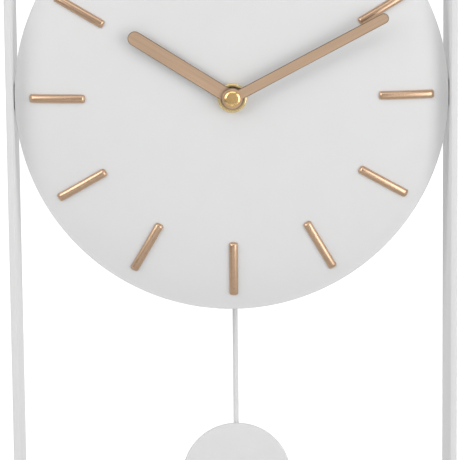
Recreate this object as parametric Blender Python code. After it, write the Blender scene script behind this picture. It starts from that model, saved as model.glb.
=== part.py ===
"""Pendulum wall clock: steel loop frame, domed dial, quartz movement and pendulum.

+Z is up, the front faces -Y and the wall is the plane y = 0.  The origin is on the wall,
on the hanger plate just under its keyhole.  x is measured from the clock's middle.
"""
from math import atan2, cos, pi, radians, sin, sqrt

import bmesh
import bpy
from mathutils import Vector

MM = 0.001
GAP = 0.3 * MM

# ---- loop frame
LOOP_WIDTH = 200 * MM
LOOP_HEIGHT = 500 * MM
BAND_DEPTH = 40 * MM
BAND_THICK = 3 * MM
LOOP_TOP_Z = 26 * MM
LOOP_RADIUS = LOOP_WIDTH / 2
UPPER_ARC_Z = LOOP_TOP_Z - LOOP_RADIUS
LOWER_ARC_Z = LOOP_TOP_Z - LOOP_HEIGHT + LOOP_RADIUS
LOOP_ARC_STEPS = 24
HUB_DROP = 190 * MM
HUB_Z = LOOP_TOP_Z - HUB_DROP

# ---- hanger plate
HANGER_THICK = 2 * MM
HANGER_HALF_WIDTH = 18 * MM
HANGER_BOTTOM_Z = -8 * MM
KEYHOLE_Z = 7.5 * MM
KEYHOLE_RADIUS = 4.5 * MM
KEY_SLOT_RADIUS = 2.25 * MM
KEY_SLOT_Z = 15.5 * MM

# ---- dial
DIAL_RADIUS = LOOP_RADIUS - BAND_THICK - GAP
RIM_Y = -31.5 * MM
CROWN_HEIGHT = 8.5 * MM
CROWN_POWER = 4
DIAL_THICK = 1.2 * MM
DIAL_BORE = 4.3 * MM
DIAL_SEGMENTS = 64
DIAL_RINGS = 6
DIAL_RING_SPACING = 0.75
DIAL_FACE_Y = RIM_Y - CROWN_HEIGHT

# ---- hour markers
MARKER_INNER = 65 * MM
MARKER_OUTER = 90 * MM
MARKER_WIDTH = 3.8 * MM
MARKER_HEIGHT = 1.6 * MM
MARKER_LIFT = 0.15 * MM
MARKER_END = 0.8 * MM
MARKER_END_SHARE = 0.65
MARKER_MIDDLE = (0.35, 0.65)
MARKER_SECTION_STEPS = 5

# ---- side brackets and their screws
BRACKET_THICK = 1.5 * MM
BRACKET_INNER_X = 80 * MM
BRACKET_HALF_HEIGHT = 6 * MM
BRACKET_REAR_Y = -12 * MM
BRACKET_LIFT = 0.4 * MM
BRACKET_STEPS = 4
SCREW_Y = -20 * MM
SCREW_RADIUS = 1.5 * MM
SCREW_HOLE = 1.75 * MM
SCREW_HEAD_RADIUS = 2.9 * MM
SCREW_HEAD_DEPTH = 1.5 * MM
SCREW_LENGTH = 8 * MM
SCREW_CROSS = (1.4 * MM, 0.3 * MM)
SCREW_CROSS_DEPTH = 1 * MM
NUT_HALF_FLATS = 2.75 * MM
NUT_HEIGHT = 2.4 * MM

# ---- hub stack, from the dial outwards
STEM_RADIUS = 4 * MM
STEM_BORE = 2.8 * MM
STEM_FRONT_Y = -42.7 * MM
RUBBER_RADIUS = 8 * MM
RUBBER_THICK = 0.8 * MM
WASHER_RADIUS = 6.2 * MM
WASHER_THICK = 0.6 * MM
NUT_RADIUS = 6.5 * MM
NUT_THICK = 1.7 * MM
NUT_EASE = 0.7 * MM
HOUR_TUBE_RADIUS = 2.5 * MM
HOUR_TUBE_BORE = 1.9 * MM
HOUR_TUBE_FRONT_Y = -44.2 * MM
MINUTE_TUBE_RADIUS = 1.6 * MM
MINUTE_TUBE_FRONT_Y = -45.6 * MM
HAND_THICK = 0.5 * MM
HOUR_HAND_Y = -43.5 * MM
HOUR_HAND_LENGTH = 53.5 * MM
HOUR_HAND_WIDTH = 6.4 * MM
HOUR_HAND_BOSS = 4.7 * MM
HOUR_HAND_ANGLE = radians(302.3)
MINUTE_HAND_Y = -45.1 * MM
MINUTE_HAND_LENGTH = 77.5 * MM
MINUTE_HAND_WIDTH = 4.6 * MM
MINUTE_HAND_BOSS = 4.8 * MM
MINUTE_HAND_ANGLE = radians(62.6)
CAP_RADIUS = 3.5 * MM
CAP_FRONT_Y = -47.5 * MM
CAP_EASE = 0.7 * MM
HUB_FIT = 0.15 * MM

# ---- movement case
CASE_HALF_WIDTH = 28 * MM
CASE_TOP = 30 * MM
CASE_BOTTOM = -44 * MM
CASE_FRONT_Y = -37.4 * MM
CASE_BACK_Y = -20 * MM
CASE_WALL = 1.5 * MM
CASE_CORNER = 3 * MM
RIB_Z = -24 * MM
RIB_THICK = 1.2 * MM
COVER_THICK = 1.5 * MM
COVER_BOTTOM = -23 * MM
COVER_SCREW_X = 24 * MM
COVER_SCREW_Z = 25.5 * MM
COVER_SCREW_HOLE = 1.15 * MM
COVER_SCREW_RADIUS = 0.9 * MM
COVER_SCREW_REACH = 3 * MM
COVER_HEAD_RADIUS = 1.9 * MM
COVER_HEAD_HEIGHT = 1.3 * MM
COVER_HEAD_EASE = 0.5 * MM
COVER_SCREW_CROSS = (1.0 * MM, 0.2 * MM)
COVER_CROSS_DEPTH = 0.6 * MM
BRIDGE_Y = (-27.0 * MM, -25.8 * MM)
BRIDGE_HALF_WIDTH = 26 * MM
BRIDGE_Z = (-13 * MM, 27 * MM)

# ---- wheels: teeth, and module
TOOTH_ADDENDUM = 0.85
TOOTH_DEDENDUM = 1.25
TOOTH_ROOT_SHARE = 0.26
TOOTH_TIP_SHARE = 0.12
MOTION_MODULE = 0.5 * MM
CANNON_TEETH = 10
WORK_WHEEL_TEETH = 30
WORK_PINION_TEETH = 8
HOUR_WHEEL_TEETH = 32
KNOB_TEETH = 15
TRAIN_MODULE = 0.34 * MM
CENTRE_TEETH = 48
PINION_TEETH = 6
TRAIN_TEETH = 45
FIFTH_MODULE = 0.5 * MM
FIFTH_TEETH = 24
WHEEL_SEGMENTS = 14
ARBOR_FRONT_Y = -36.5 * MM
ARBOR_BACK_Y = -26.1 * MM
SHOULDER_Y = (-35.5 * MM, -27.3 * MM)
PIVOT_RADIUS = 0.35 * MM
PIVOT_CLEARANCE = 0.15 * MM
ARBOR_RADIUS = 0.42 * MM
THIRD_DIRECTION = radians(45)
FOURTH_DIRECTION = 0.0
FIFTH_DIRECTION = radians(-60)
ROTOR_DIRECTION = radians(-90)
MAGNET_RADIUS = 3 * MM
ROTOR_HUB_RADIUS = 0.6 * MM
CANNON_ARBOR_RADIUS = 0.8 * MM
CENTRE_BORE = 0.9 * MM
CENTRE_HUB_RADIUS = 2.5 * MM
KNOB_TIP_RADIUS = 1 * MM
KNOB_SHAFT_RADIUS = 1.6 * MM
KNOB_SHAFT_BORE = 2 * MM
KNOB_FLUTES = 16
KNOB_FLUTE_RADII = (4.9 * MM, 4.5 * MM)
KNOB_LENGTH = 5 * MM
KNOB_ROOT = 1 * MM

# ---- where each wheel lies along y: (front, back)
WORK_PINION_Y = (-35.4 * MM, -33.5 * MM)
HOUR_WHEEL_Y = (-35.4 * MM, -34.4 * MM)
CANNON_PINION_Y = (-34.1 * MM, -32.7 * MM)
KNOB_TIP_Y = -34.6 * MM
KNOB_PINION_Y = (-33.9 * MM, -32.9 * MM)
WORK_WHEEL_Y = (-33.8 * MM, -33.0 * MM)
CENTRE_HUB_Y = (-32.3 * MM, -30.6 * MM)
CENTRE_WHEEL_Y = (-31.9 * MM, -31.1 * MM)
THIRD_PINION_Y = (-32.1 * MM, -30.0 * MM)
THIRD_WHEEL_Y = (-30.3 * MM, -29.5 * MM)
FOURTH_PINION_Y = (-30.5 * MM, -28.5 * MM)
FOURTH_WHEEL_Y = (-28.9 * MM, -28.1 * MM)
FIFTH_WHEEL_Y = (-31.9 * MM, -31.1 * MM)
FIFTH_PINION_Y = (-31.5 * MM, -27.9 * MM)
ROTOR_PINION_Y = (-32.1 * MM, -30.9 * MM)
ROTOR_HUB_Y = -32.2 * MM
ROTOR_MAGNET_Y = (-30.6 * MM, -27.6 * MM)

# ---- motor and board
STATOR_Y = (-29.4 * MM, -28.6 * MM)
STATOR_X = (-22 * MM, 24 * MM)
STATOR_Z = (-20.8 * MM, -3.5 * MM)
STATOR_WINDOW_X = (-18 * MM, 10 * MM)
STATOR_WINDOW_Z = (-17.8 * MM, -13.5 * MM)
STATOR_HOLE = 3.6 * MM
COIL_X = (-17 * MM, 9 * MM)
COIL_Z = -19.3 * MM
COIL_FLANGE = 3.6 * MM
COIL_WINDING = 3.0 * MM
COIL_BORE = 1.9 * MM
COIL_FLANGE_THICK = 1 * MM
BOARD_Y = (-24.6 * MM, -23.6 * MM)
BOARD_Z = (5 * MM, 27 * MM)
BOARD_HALF_WIDTH = 25 * MM
CRYSTAL_Y = -22.2 * MM
CRYSTAL_RADIUS = 1 * MM
CRYSTAL_X = (12 * MM, 18 * MM)
CRYSTAL_Z = 20 * MM

# ---- battery
BATTERY_RADIUS = 7.25 * MM
BATTERY_LENGTH = 50.5 * MM
BATTERY_NUB = 2.75 * MM
BATTERY_NUB_LENGTH = 1.2 * MM
BATTERY_EASE = 0.6 * MM
BATTERY_Y = -28.3 * MM
BATTERY_Z = -32.6 * MM
CONTACT_X = 25.8 * MM
CONTACT_THICK = 0.4 * MM
CONTACT_CORNER = 1 * MM
CONTACTS = (("positive", 1, 4 * MM), ("negative", -1, 5.5 * MM))

# ---- pendulum drive and pendulum
PENDULUM_X = 0.8 * MM
PIVOT_Z = 22 * MM
PIVOT_PIN_RADIUS = 1 * MM
PIVOT_FIT = 0.1 * MM
HOUSING_HALF_WIDTH = 15 * MM
HOUSING_Z = (-9 * MM, 28 * MM)
HOUSING_Y = (-17.9 * MM, -9.5 * MM)
HOUSING_WALL = 1.2 * MM
HOUSING_CORNER = 2 * MM
DRIVE_COIL_Y = (-17.9 * MM, -15.5 * MM)
DRIVE_COIL_RADIUS = 6.5 * MM
DRIVE_COIL_BORE = 2.5 * MM
DRIVE_Z = 2 * MM
ARM_Y = (-14.3 * MM, -12.7 * MM)
ARM_TOP_RADIUS = 3.5 * MM
ARM_RING_RADIUS = 6 * MM
ARM_HALF_WIDTH = 2.6 * MM
ARM_END_HALF_WIDTH = 4 * MM
ARM_END_Z = -37 * MM
ARM_BOTTOM_Z = -47 * MM
ARM_FLARE = 2 * MM
ARM_CHAMFER = 1 * MM
ARM_WINDOW_HALF = 1.8 * MM
ARM_WINDOW_Z = (-44.3 * MM, -40.2 * MM)
ARM_MAGNET_RADIUS = 4 * MM
ARM_MAGNET_Y = (-15.0 * MM, -12.0 * MM)
ROD_RADIUS = 1.2 * MM
ROD_SIDES = 10
ROD_Y = -11.2 * MM
HOOK_BEND = 2.3 * MM
HOOK_Z = -44.7 * MM
HOOK_TIP_Z = -48 * MM
BOB_Z = -178.4 * MM
BOB_RADIUS = 25 * MM
BOB_Y = (-15.3 * MM, -12.7 * MM)
BOB_EDGE = 0.8 * MM
BOB_SEGMENTS = 48
ROD_TAIL = 9 * MM
CLIP_HALF_WIDTH = 5 * MM
CLIP_HALF_HEIGHT = 5 * MM
CLIP_Y = (-12.4 * MM, -8.6 * MM)
CLIP_GROOVE = 1.35 * MM
ROD_END_Z = BOB_Z - ROD_TAIL

AXIS_X = Vector((1, 0, 0))
AXIS_Y = Vector((0, 1, 0))
AXIS_Z = Vector((0, 0, 1))
EXTRUDE_AXES = {
    "X": (AXIS_Y, AXIS_Z, AXIS_X),
    "Y": (AXIS_X, AXIS_Z, AXIS_Y),
    "Z": (AXIS_X, AXIS_Y, AXIS_Z),
}
MERGE_DISTANCE = 1e-7
ROUND_STEPS = 24
SMALL_ROUND_STEPS = 16
EASE_SHARE = 0.3
SHARP_ANGLE = radians(35)


def clear_scene():
    for thing in list(bpy.data.objects):
        bpy.data.objects.remove(thing, do_unlink=True)


# ---------------------------------------------------------------- materials

def make_material(name, colour, roughness, metallic):
    material = bpy.data.materials.new(name)
    material.use_nodes = True
    shader = material.node_tree.nodes["Principled BSDF"]
    shader.inputs["Base Color"].default_value = (*colour, 1.0)
    shader.inputs["Roughness"].default_value = roughness
    shader.inputs["Metallic"].default_value = metallic
    return material


def make_materials():
    looks = {
        "white_powder_coat": ((0.80, 0.80, 0.80), 0.55, 0.0),
        "white_dial": ((0.80, 0.80, 0.80), 0.60, 0.0),
        "rose_gold_polished": ((0.80, 0.56, 0.42), 0.22, 1.0),
        "rose_gold_brushed": ((0.66, 0.48, 0.36), 0.42, 1.0),
        "brass": ((0.85, 0.62, 0.28), 0.22, 1.0),
        "zinc_steel": ((0.62, 0.63, 0.65), 0.35, 1.0),
        "black_rubber": ((0.03, 0.03, 0.03), 0.80, 0.0),
        "black_abs": ((0.03, 0.03, 0.035), 0.50, 0.0),
        "natural_pom": ((0.82, 0.80, 0.72), 0.40, 0.0),
        "soft_iron": ((0.45, 0.45, 0.46), 0.45, 1.0),
        "copper_wire": ((0.72, 0.33, 0.14), 0.35, 1.0),
        "circuit_green": ((0.03, 0.20, 0.08), 0.45, 0.0),
        "magnet_nickel": ((0.70, 0.70, 0.70), 0.25, 1.0),
        "battery_sleeve": ((0.10, 0.12, 0.14), 0.35, 0.0),
    }
    return {name: make_material(name, *look) for name, look in looks.items()}


# ---------------------------------------------------------------- shape helpers

def circle(centre_u, centre_v, radius, steps, start=0.0):
    turn = 2 * pi / steps
    return [(centre_u + radius * cos(start + i * turn), centre_v + radius * sin(start + i * turn))
            for i in range(steps)]


def arc(centre_u, centre_v, radius, first, last, steps):
    return [(centre_u + radius * cos(first + (last - first) * i / steps),
             centre_v + radius * sin(first + (last - first) * i / steps))
            for i in range(steps + 1)]


def rectangle(u_range, v_range):
    return [(u_range[0], v_range[0]), (u_range[1], v_range[0]),
            (u_range[1], v_range[1]), (u_range[0], v_range[1])]


def rounded_rectangle(u_range, v_range, radius, steps=4):
    corners = [(u_range[1] - radius, v_range[1] - radius, 0.0),
               (u_range[0] + radius, v_range[1] - radius, pi / 2),
               (u_range[0] + radius, v_range[0] + radius, pi),
               (u_range[1] - radius, v_range[0] + radius, 3 * pi / 2)]
    points = []
    for u, v, first in corners:
        points += arc(u, v, radius, first, first + pi / 2, steps)
    return points


def cross(centre_u, centre_v, arm):
    """The two bars of a screw's cross recess; arm is (half length, half width)."""
    return [rectangle((centre_u - u, centre_u + u), (centre_v - v, centre_v + v))
            for u, v in (arm, arm[::-1])]


def eased_edge(radius, face, ease):
    """Profile points round an edge, from the face to the side; ease is negative at a back edge."""
    inset = abs(ease)
    return [(radius - inset, face), (radius - EASE_SHARE * inset, face + EASE_SHARE * ease),
            (radius, face + ease)]


def from_hub(v_range):
    return tuple(v + HUB_Z for v in v_range)


def extruded(outline, span, holes=(), axis="Y"):
    """A straight solid: a flat outline with holes, drawn across the axis and extruded along it."""
    u_axis, v_axis, w_axis = EXTRUDE_AXES[axis]
    shape = bmesh.new()
    for ring in (outline, *holes):
        corners = [shape.verts.new(u_axis * u + v_axis * v + w_axis * span[0]) for u, v in ring]
        for i, corner in enumerate(corners):
            shape.edges.new((corner, corners[(i + 1) % len(corners)]))
    filled = bmesh.ops.triangle_fill(shape, edges=shape.edges[:], use_beauty=True, normal=w_axis)
    faces = [item for item in filled["geom"] if isinstance(item, bmesh.types.BMFace)]
    grown = bmesh.ops.extrude_face_region(shape, geom=faces)
    moved = [item for item in grown["geom"] if isinstance(item, bmesh.types.BMVert)]
    bmesh.ops.translate(shape, verts=moved, vec=w_axis * (span[1] - span[0]))
    bmesh.ops.recalc_face_normals(shape, faces=shape.faces[:])
    return shape


def turned(profile, centre, segments, axis="Y", ring=True):
    """A round solid: (radius, place along the axis) points spun about the axis through centre.

    A ring profile is a closed loop clear of the axis; the others start and end on the axis.
    """
    along = AXIS_X if axis == "X" else AXIS_Y
    outward = AXIS_Z if axis == "X" else AXIS_X
    across = Vector(centre) - along * along.dot(Vector(centre))
    shape = bmesh.new()
    points = [shape.verts.new(across + outward * r + along * a) for r, a in profile]
    pairs = list(zip(points, points[1:]))
    if ring:
        pairs.append((points[-1], points[0]))
    edges = [shape.edges.new(pair) for pair in pairs]
    bmesh.ops.spin(shape, geom=points + edges, cent=across, axis=along, angle=2 * pi,
                   steps=segments, use_merge=True)
    bmesh.ops.remove_doubles(shape, verts=shape.verts[:], dist=MERGE_DISTANCE)
    bmesh.ops.dissolve_degenerate(shape, edges=shape.edges[:], dist=MERGE_DISTANCE)
    bmesh.ops.recalc_face_normals(shape, faces=shape.faces[:])
    return shape


def disc(radius, span, centre, segments=16, axis="Y"):
    profile = [(0, span[0]), (radius, span[0]), (radius, span[1]), (0, span[1])]
    return turned(profile, centre, segments, axis, ring=False)


def washer(radius, bore, span, centre, segments=24, axis="Y"):
    profile = [(bore, span[0]), (radius, span[0]), (radius, span[1]), (bore, span[1])]
    return turned(profile, centre, segments, axis)


def add_node(name, shape, material, origin=(0, 0, 0)):
    """Turn a shape drawn in world coordinates into an object whose origin is at the given point."""
    mesh = bpy.data.meshes.new(name)
    bmesh.ops.translate(shape, verts=shape.verts[:], vec=-Vector(origin))
    shape.to_mesh(mesh)
    shape.free()
    mesh.shade_smooth()
    mesh.set_sharp_from_angle(angle=SHARP_ANGLE)
    if material is not None:
        mesh.materials.append(material)
    node = bpy.data.objects.new(name, mesh)
    node.location = origin
    bpy.context.scene.collection.objects.link(node)
    return node


def carve(node, shape, operation="DIFFERENCE"):
    """Cut a shape out of a node, or join one to it, and keep only the result."""
    tool = add_node("carving_tool", shape, None)
    bpy.context.view_layer.update()
    modifier = node.modifiers.new("carve", "BOOLEAN")
    modifier.object = tool
    modifier.operation = operation
    modifier.solver = "EXACT"
    graph = bpy.context.evaluated_depsgraph_get()
    carved = bpy.data.meshes.new_from_object(node.evaluated_get(graph))
    node.modifiers.clear()
    spent = (node.data, tool.data)
    node.data = carved
    bpy.data.objects.remove(tool, do_unlink=True)
    for mesh in spent:
        bpy.data.meshes.remove(mesh)
    carved.name = node.name
    carved.set_sharp_from_angle(angle=SHARP_ANGLE)
    return node


# ---------------------------------------------------------------- loop frame

def loop_outline(radius):
    points = arc(0, UPPER_ARC_Z, radius, 0, pi, LOOP_ARC_STEPS)
    points += arc(0, LOWER_ARC_Z, radius, pi, 2 * pi, LOOP_ARC_STEPS)
    return points


def countersink(side, radius, head_radius):
    """The shape of a flush screw's hole, or of the screw, along X at the left or right side."""
    face = side * (LOOP_RADIUS + GAP)
    neck = side * (LOOP_RADIUS - SCREW_HEAD_DEPTH)
    inner = side * (LOOP_RADIUS - 2 * BAND_THICK)
    profile = [(0, face), (head_radius, face), (radius, neck), (radius, inner), (0, inner)]
    return turned(profile, (0, SCREW_Y, HUB_Z), 24, axis="X", ring=False)


def build_frame_band(materials):
    shape = extruded(loop_outline(LOOP_RADIUS), (-BAND_DEPTH, 0),
                     holes=[loop_outline(LOOP_RADIUS - BAND_THICK)])
    band = add_node("frame_band", shape, materials["white_powder_coat"])
    for side in (-1, 1):
        carve(band, countersink(side, SCREW_HOLE, SCREW_HEAD_RADIUS + GAP))


def build_hanger_plate(materials):
    top_radius = LOOP_RADIUS - BAND_THICK - GAP
    corner = atan2(sqrt(top_radius ** 2 - HANGER_HALF_WIDTH ** 2), HANGER_HALF_WIDTH)
    outline = [(-HANGER_HALF_WIDTH, HANGER_BOTTOM_Z), (HANGER_HALF_WIDTH, HANGER_BOTTOM_Z)]
    outline += arc(0, UPPER_ARC_Z, top_radius, corner, pi - corner, 8)
    shape = extruded(outline, (-HANGER_THICK, 0), holes=[keyhole_outline()])
    add_node("hanger_plate", shape, materials["white_powder_coat"])


def keyhole_outline():
    """A round entry for the wall screw's head, with a narrower slot running up from it."""
    meet = atan2(sqrt(KEYHOLE_RADIUS ** 2 - KEY_SLOT_RADIUS ** 2), KEY_SLOT_RADIUS)
    points = arc(0, KEYHOLE_Z, KEYHOLE_RADIUS, pi - meet, 2 * pi + meet, 20)
    points += arc(0, KEY_SLOT_Z, KEY_SLOT_RADIUS, 0, pi, 8)
    return points


# ---------------------------------------------------------------- dial and markers

def dial_front(radius):
    return DIAL_FACE_Y + CROWN_HEIGHT * (radius / DIAL_RADIUS) ** CROWN_POWER


def build_dial_plate(materials):
    rim = DIAL_RADIUS - DIAL_THICK / 2
    stations = [DIAL_BORE + (rim - DIAL_BORE) * (i / DIAL_RINGS) ** DIAL_RING_SPACING
                for i in range(DIAL_RINGS + 1)]
    front = [(r, dial_front(r)) for r in stations]
    back = [(r, dial_front(r) + DIAL_THICK) for r in reversed(stations)]
    edge_y = dial_front(rim) + DIAL_THICK / 2
    edge = [(DIAL_RADIUS, edge_y - DIAL_THICK / 4), (DIAL_RADIUS, edge_y + DIAL_THICK / 4)]
    shape = turned(front + edge + back, (0, 0, HUB_Z), DIAL_SEGMENTS)
    add_node("dial_plate", shape, materials["white_dial"])


def marker_stations():
    """(place along the radius, share of the full section) down a marker with eased ends."""
    ends = [(0.0, MARKER_END_SHARE), (MARKER_END, 1.0)]
    length = MARKER_OUTER - MARKER_INNER
    middle = [(length * share, 1.0) for share in MARKER_MIDDLE]
    return ends + middle + [(length - s, share) for s, share in reversed(ends)]


def marker_shape(angle):
    """A half-round bar that follows the dial's crown, at a clock angle from twelve."""
    outward = Vector((sin(angle), 0, cos(angle)))
    sideways = Vector((cos(angle), 0, -sin(angle)))
    shape = bmesh.new()
    rings = []
    for place, share in marker_stations():
        radius = MARKER_INNER + place
        base = outward * radius + AXIS_Z * HUB_Z + AXIS_Y * (dial_front(radius) - MARKER_LIFT)
        ring = []
        for i in range(MARKER_SECTION_STEPS + 1):
            turn = pi * i / MARKER_SECTION_STEPS
            across = cos(turn) * share * MARKER_WIDTH / 2
            height = sin(turn) * share * MARKER_HEIGHT
            ring.append(shape.verts.new(base + sideways * across - AXIS_Y * height))
        rings.append(ring)
    for ring, after in zip(rings, rings[1:]):
        count = len(ring)
        for i in range(count):
            j = (i + 1) % count
            shape.faces.new((ring[i], ring[j], after[j], after[i]))
    shape.faces.new(rings[0])
    shape.faces.new(rings[-1])
    bmesh.ops.recalc_face_normals(shape, faces=shape.faces[:])
    return shape


def build_markers(materials):
    for hour in range(1, 13):
        shape = marker_shape(radians(30 * hour))
        add_node(f"marker_{hour:02d}", shape, materials["rose_gold_polished"])


# ---------------------------------------------------------------- brackets

def bracket_outline(side):
    """A strip that follows the back of the dial and then turns along the band."""
    wall_x = LOOP_RADIUS - BAND_THICK - GAP
    bend_x = wall_x - BRACKET_THICK
    near = []
    for i in range(BRACKET_STEPS + 1):
        x = BRACKET_INNER_X + (bend_x - BRACKET_INNER_X) * i / BRACKET_STEPS
        near.append((x, dial_front(x) + DIAL_THICK + BRACKET_LIFT))
    far = [(x, y + BRACKET_THICK) for x, y in reversed(near)]
    outline = near + [(wall_x, near[-1][1] + BRACKET_THICK / 2), (wall_x, BRACKET_REAR_Y),
                      (bend_x, BRACKET_REAR_Y)] + far
    return [(side * x, y) for x, y in outline]


def build_side_fixing(name, side, materials):
    span = (HUB_Z - BRACKET_HALF_HEIGHT, HUB_Z + BRACKET_HALF_HEIGHT)
    bracket = add_node(f"side_bracket_{name}", extruded(bracket_outline(side), span, axis="Z"),
                       materials["zinc_steel"])
    reach = (side * (LOOP_RADIUS - 3 * BAND_THICK), side * LOOP_RADIUS)
    carve(bracket, disc(SCREW_HOLE, reach, (0, SCREW_Y, HUB_Z), axis="X"))
    build_side_screw(name, side, materials)
    nut_face = LOOP_RADIUS - BAND_THICK - 2 * GAP - BRACKET_THICK
    nut_span = (side * nut_face, side * (nut_face - NUT_HEIGHT))
    corners = circle(SCREW_Y, HUB_Z, NUT_HALF_FLATS / cos(pi / 6), 6)
    hole = circle(SCREW_Y, HUB_Z, SCREW_HOLE, 24)
    add_node(f"side_nut_{name}", extruded(corners, nut_span, holes=[hole], axis="X"),
             materials["zinc_steel"])


def build_side_screw(name, side, materials):
    face = side * (LOOP_RADIUS - GAP / 2)
    neck = side * (LOOP_RADIUS - SCREW_HEAD_DEPTH - GAP / 2)
    end = side * (LOOP_RADIUS - SCREW_LENGTH)
    profile = [(0, face), (SCREW_HEAD_RADIUS - GAP, face), (SCREW_RADIUS, neck),
               (SCREW_RADIUS, end), (0, end)]
    screw = add_node(f"side_screw_{name}",
                     turned(profile, (0, SCREW_Y, HUB_Z), 24, axis="X", ring=False),
                     materials["white_powder_coat"])
    depth = (side * (LOOP_RADIUS + GAP), side * (LOOP_RADIUS - SCREW_CROSS_DEPTH))
    for outline in cross(SCREW_Y, HUB_Z, SCREW_CROSS):
        carve(screw, extruded(outline, depth, axis="X"))


# ---------------------------------------------------------------- hub stack and hands

def build_hub_stack(materials):
    centre = (0, 0, HUB_Z)
    dial_back = DIAL_FACE_Y + DIAL_THICK
    rubber = (dial_back + GAP, dial_back + GAP + RUBBER_THICK)
    add_node("rubber_washer", washer(RUBBER_RADIUS, DIAL_BORE, rubber, centre),
             materials["black_rubber"])
    brass = (DIAL_FACE_Y - GAP - WASHER_THICK, DIAL_FACE_Y - GAP)
    add_node("brass_washer", washer(WASHER_RADIUS, DIAL_BORE, brass, centre),
             materials["brass"])
    back = brass[0] - GAP
    front = back - NUT_THICK
    bore = STEM_RADIUS + HUB_FIT
    profile = [(bore, front), *eased_edge(NUT_RADIUS, front, NUT_EASE), (NUT_RADIUS, back),
               (bore, back)]
    add_node("mounting_nut", turned(profile, centre, 24), materials["brass"])


def hand_outline(length, width, boss, angle):
    """A straight strip with a round tip and a round boss, pointing at a clock angle."""
    half = width / 2
    lean = atan2(half, sqrt(boss ** 2 - half ** 2))
    tip = length - half
    shape = arc(0, tip, half, 0, pi, 10)
    shape += arc(0, 0, boss, pi / 2 + lean, 5 * pi / 2 - lean, 28)
    return [(u * cos(angle) + v * sin(angle), HUB_Z + v * cos(angle) - u * sin(angle))
            for u, v in shape]


def build_hands(materials):
    hour = hand_outline(HOUR_HAND_LENGTH, HOUR_HAND_WIDTH, HOUR_HAND_BOSS, HOUR_HAND_ANGLE)
    minute = hand_outline(MINUTE_HAND_LENGTH, MINUTE_HAND_WIDTH, MINUTE_HAND_BOSS, MINUTE_HAND_ANGLE)
    centre = (0, 0, HUB_Z)
    for name, outline, back, bore in (
            ("hour_hand", hour, HOUR_HAND_Y, HOUR_TUBE_RADIUS + HUB_FIT),
            ("minute_hand", minute, MINUTE_HAND_Y, MINUTE_TUBE_RADIUS + HUB_FIT)):
        hole = circle(0, HUB_Z, bore, 24)
        shape = extruded(outline, (back - HAND_THICK, back), holes=[hole])
        add_node(name, shape, materials["rose_gold_brushed"], origin=centre)


def build_centre_cap(materials):
    back = MINUTE_HAND_Y - HAND_THICK - GAP
    profile = [(0, CAP_FRONT_Y), *eased_edge(CAP_RADIUS, CAP_FRONT_Y, CAP_EASE),
               (CAP_RADIUS, back), (0, back)]
    centre = (0, 0, HUB_Z)
    add_node("centre_cap", turned(profile, centre, 24, ring=False), materials["brass"], origin=centre)


# ---------------------------------------------------------------- wheels

def gear_outline(teeth, module, centre, phase):
    pitch = 2 * pi / teeth
    tip = module * (teeth / 2 + TOOTH_ADDENDUM)
    root = module * (teeth / 2 - TOOTH_DEDENDUM)
    corners = ((root, -TOOTH_ROOT_SHARE), (tip, -TOOTH_TIP_SHARE),
               (tip, TOOTH_TIP_SHARE), (root, TOOTH_ROOT_SHARE))
    points = []
    for tooth in range(teeth):
        for radius, share in corners:
            angle = phase + (tooth + share) * pitch
            points.append((centre[0] + radius * cos(angle), centre[1] + radius * sin(angle)))
    return points


def meshed_phase(driver, driver_teeth, driver_phase, driven, teeth):
    """The tooth phase at which a wheel's gap faces the tooth of the wheel that drives it."""
    toward = atan2(driven[1] - driver[1], driven[0] - driver[0])
    offset = (toward - driver_phase) % (2 * pi / driver_teeth)
    return toward + pi + offset * driver_teeth / teeth + pi / teeth


def stepped(centre, direction, distance):
    return (centre[0] + distance * cos(direction), centre[1] + distance * sin(direction))


CENTRE = (0.0, HUB_Z)
MOTION_REACH = MOTION_MODULE * (CANNON_TEETH + WORK_WHEEL_TEETH) / 2
KNOB_REACH = MOTION_MODULE * (WORK_WHEEL_TEETH + KNOB_TEETH) / 2
WORK_AXIS = stepped(CENTRE, pi, MOTION_REACH)
KNOB_AXIS = stepped(WORK_AXIS, pi, KNOB_REACH)
THIRD_AXIS = stepped(CENTRE, THIRD_DIRECTION, TRAIN_MODULE * (CENTRE_TEETH + PINION_TEETH) / 2)
FOURTH_AXIS = stepped(THIRD_AXIS, FOURTH_DIRECTION, TRAIN_MODULE * (TRAIN_TEETH + PINION_TEETH) / 2)
FIFTH_AXIS = stepped(FOURTH_AXIS, FIFTH_DIRECTION, TRAIN_MODULE * (TRAIN_TEETH + PINION_TEETH) / 2)
ROTOR_AXIS = stepped(FIFTH_AXIS, ROTOR_DIRECTION, FIFTH_MODULE * (FIFTH_TEETH + PINION_TEETH) / 2)


def add_wheel(name, axis, arbor, wheels, material):
    """One solid of an arbor, given as (radius, front, back) steps, and the wheels on it."""
    centre = (axis[0], 0, axis[1])
    profile = [(0, arbor[0][1])]
    for radius, front, back in arbor:
        profile += [(radius, front), (radius, back)]
    profile.append((0, arbor[-1][2]))
    node = add_node(name, turned(profile, centre, WHEEL_SEGMENTS, ring=False), material)
    for teeth, module, phase, span in wheels:
        carve(node, extruded(gear_outline(teeth, module, axis, phase), span), "UNION")
    return set_origin(node, centre)


def set_origin(node, centre):
    shape = bmesh.new()
    shape.from_mesh(node.data)
    bmesh.ops.translate(shape, verts=shape.verts[:], vec=-Vector(centre))
    shape.to_mesh(node.data)
    shape.free()
    node.location = centre
    return node


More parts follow.
